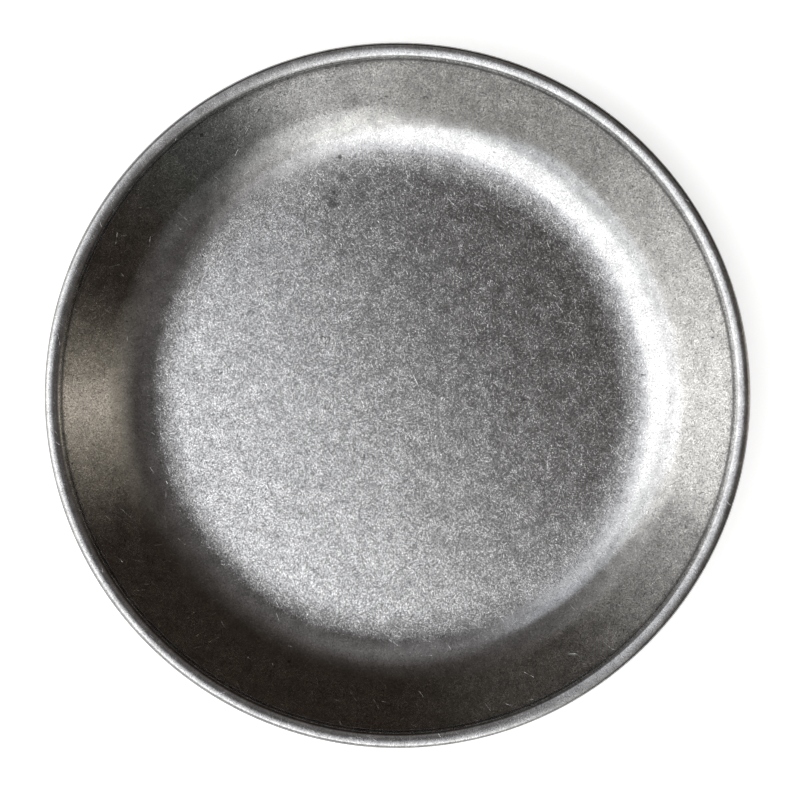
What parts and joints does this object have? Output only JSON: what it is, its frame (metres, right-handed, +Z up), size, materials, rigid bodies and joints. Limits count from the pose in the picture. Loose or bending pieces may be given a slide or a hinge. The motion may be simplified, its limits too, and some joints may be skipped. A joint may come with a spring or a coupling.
{
  "type": "camping plate",
  "caption": "Round shallow camping plate of tumbled stainless steel with a flat floor, a flared wall and a hollow rolled rim, for eating from outdoors.",
  "frame": {"origin": "on the plate's axis, at the underside of its floor", "axes": "+Z up along the plate's axis, out of the dish; X and Y are alike because the form is turned"},
  "size_m": [0.22, 0.22, 0.02],
  "materials": {
    "tumbled_steel": "tumbled, satin grey with fine random scratches"
  },
  "bodies": {
    "root": {"plate": "tumbled_steel"}
  },
  "joints": []
}
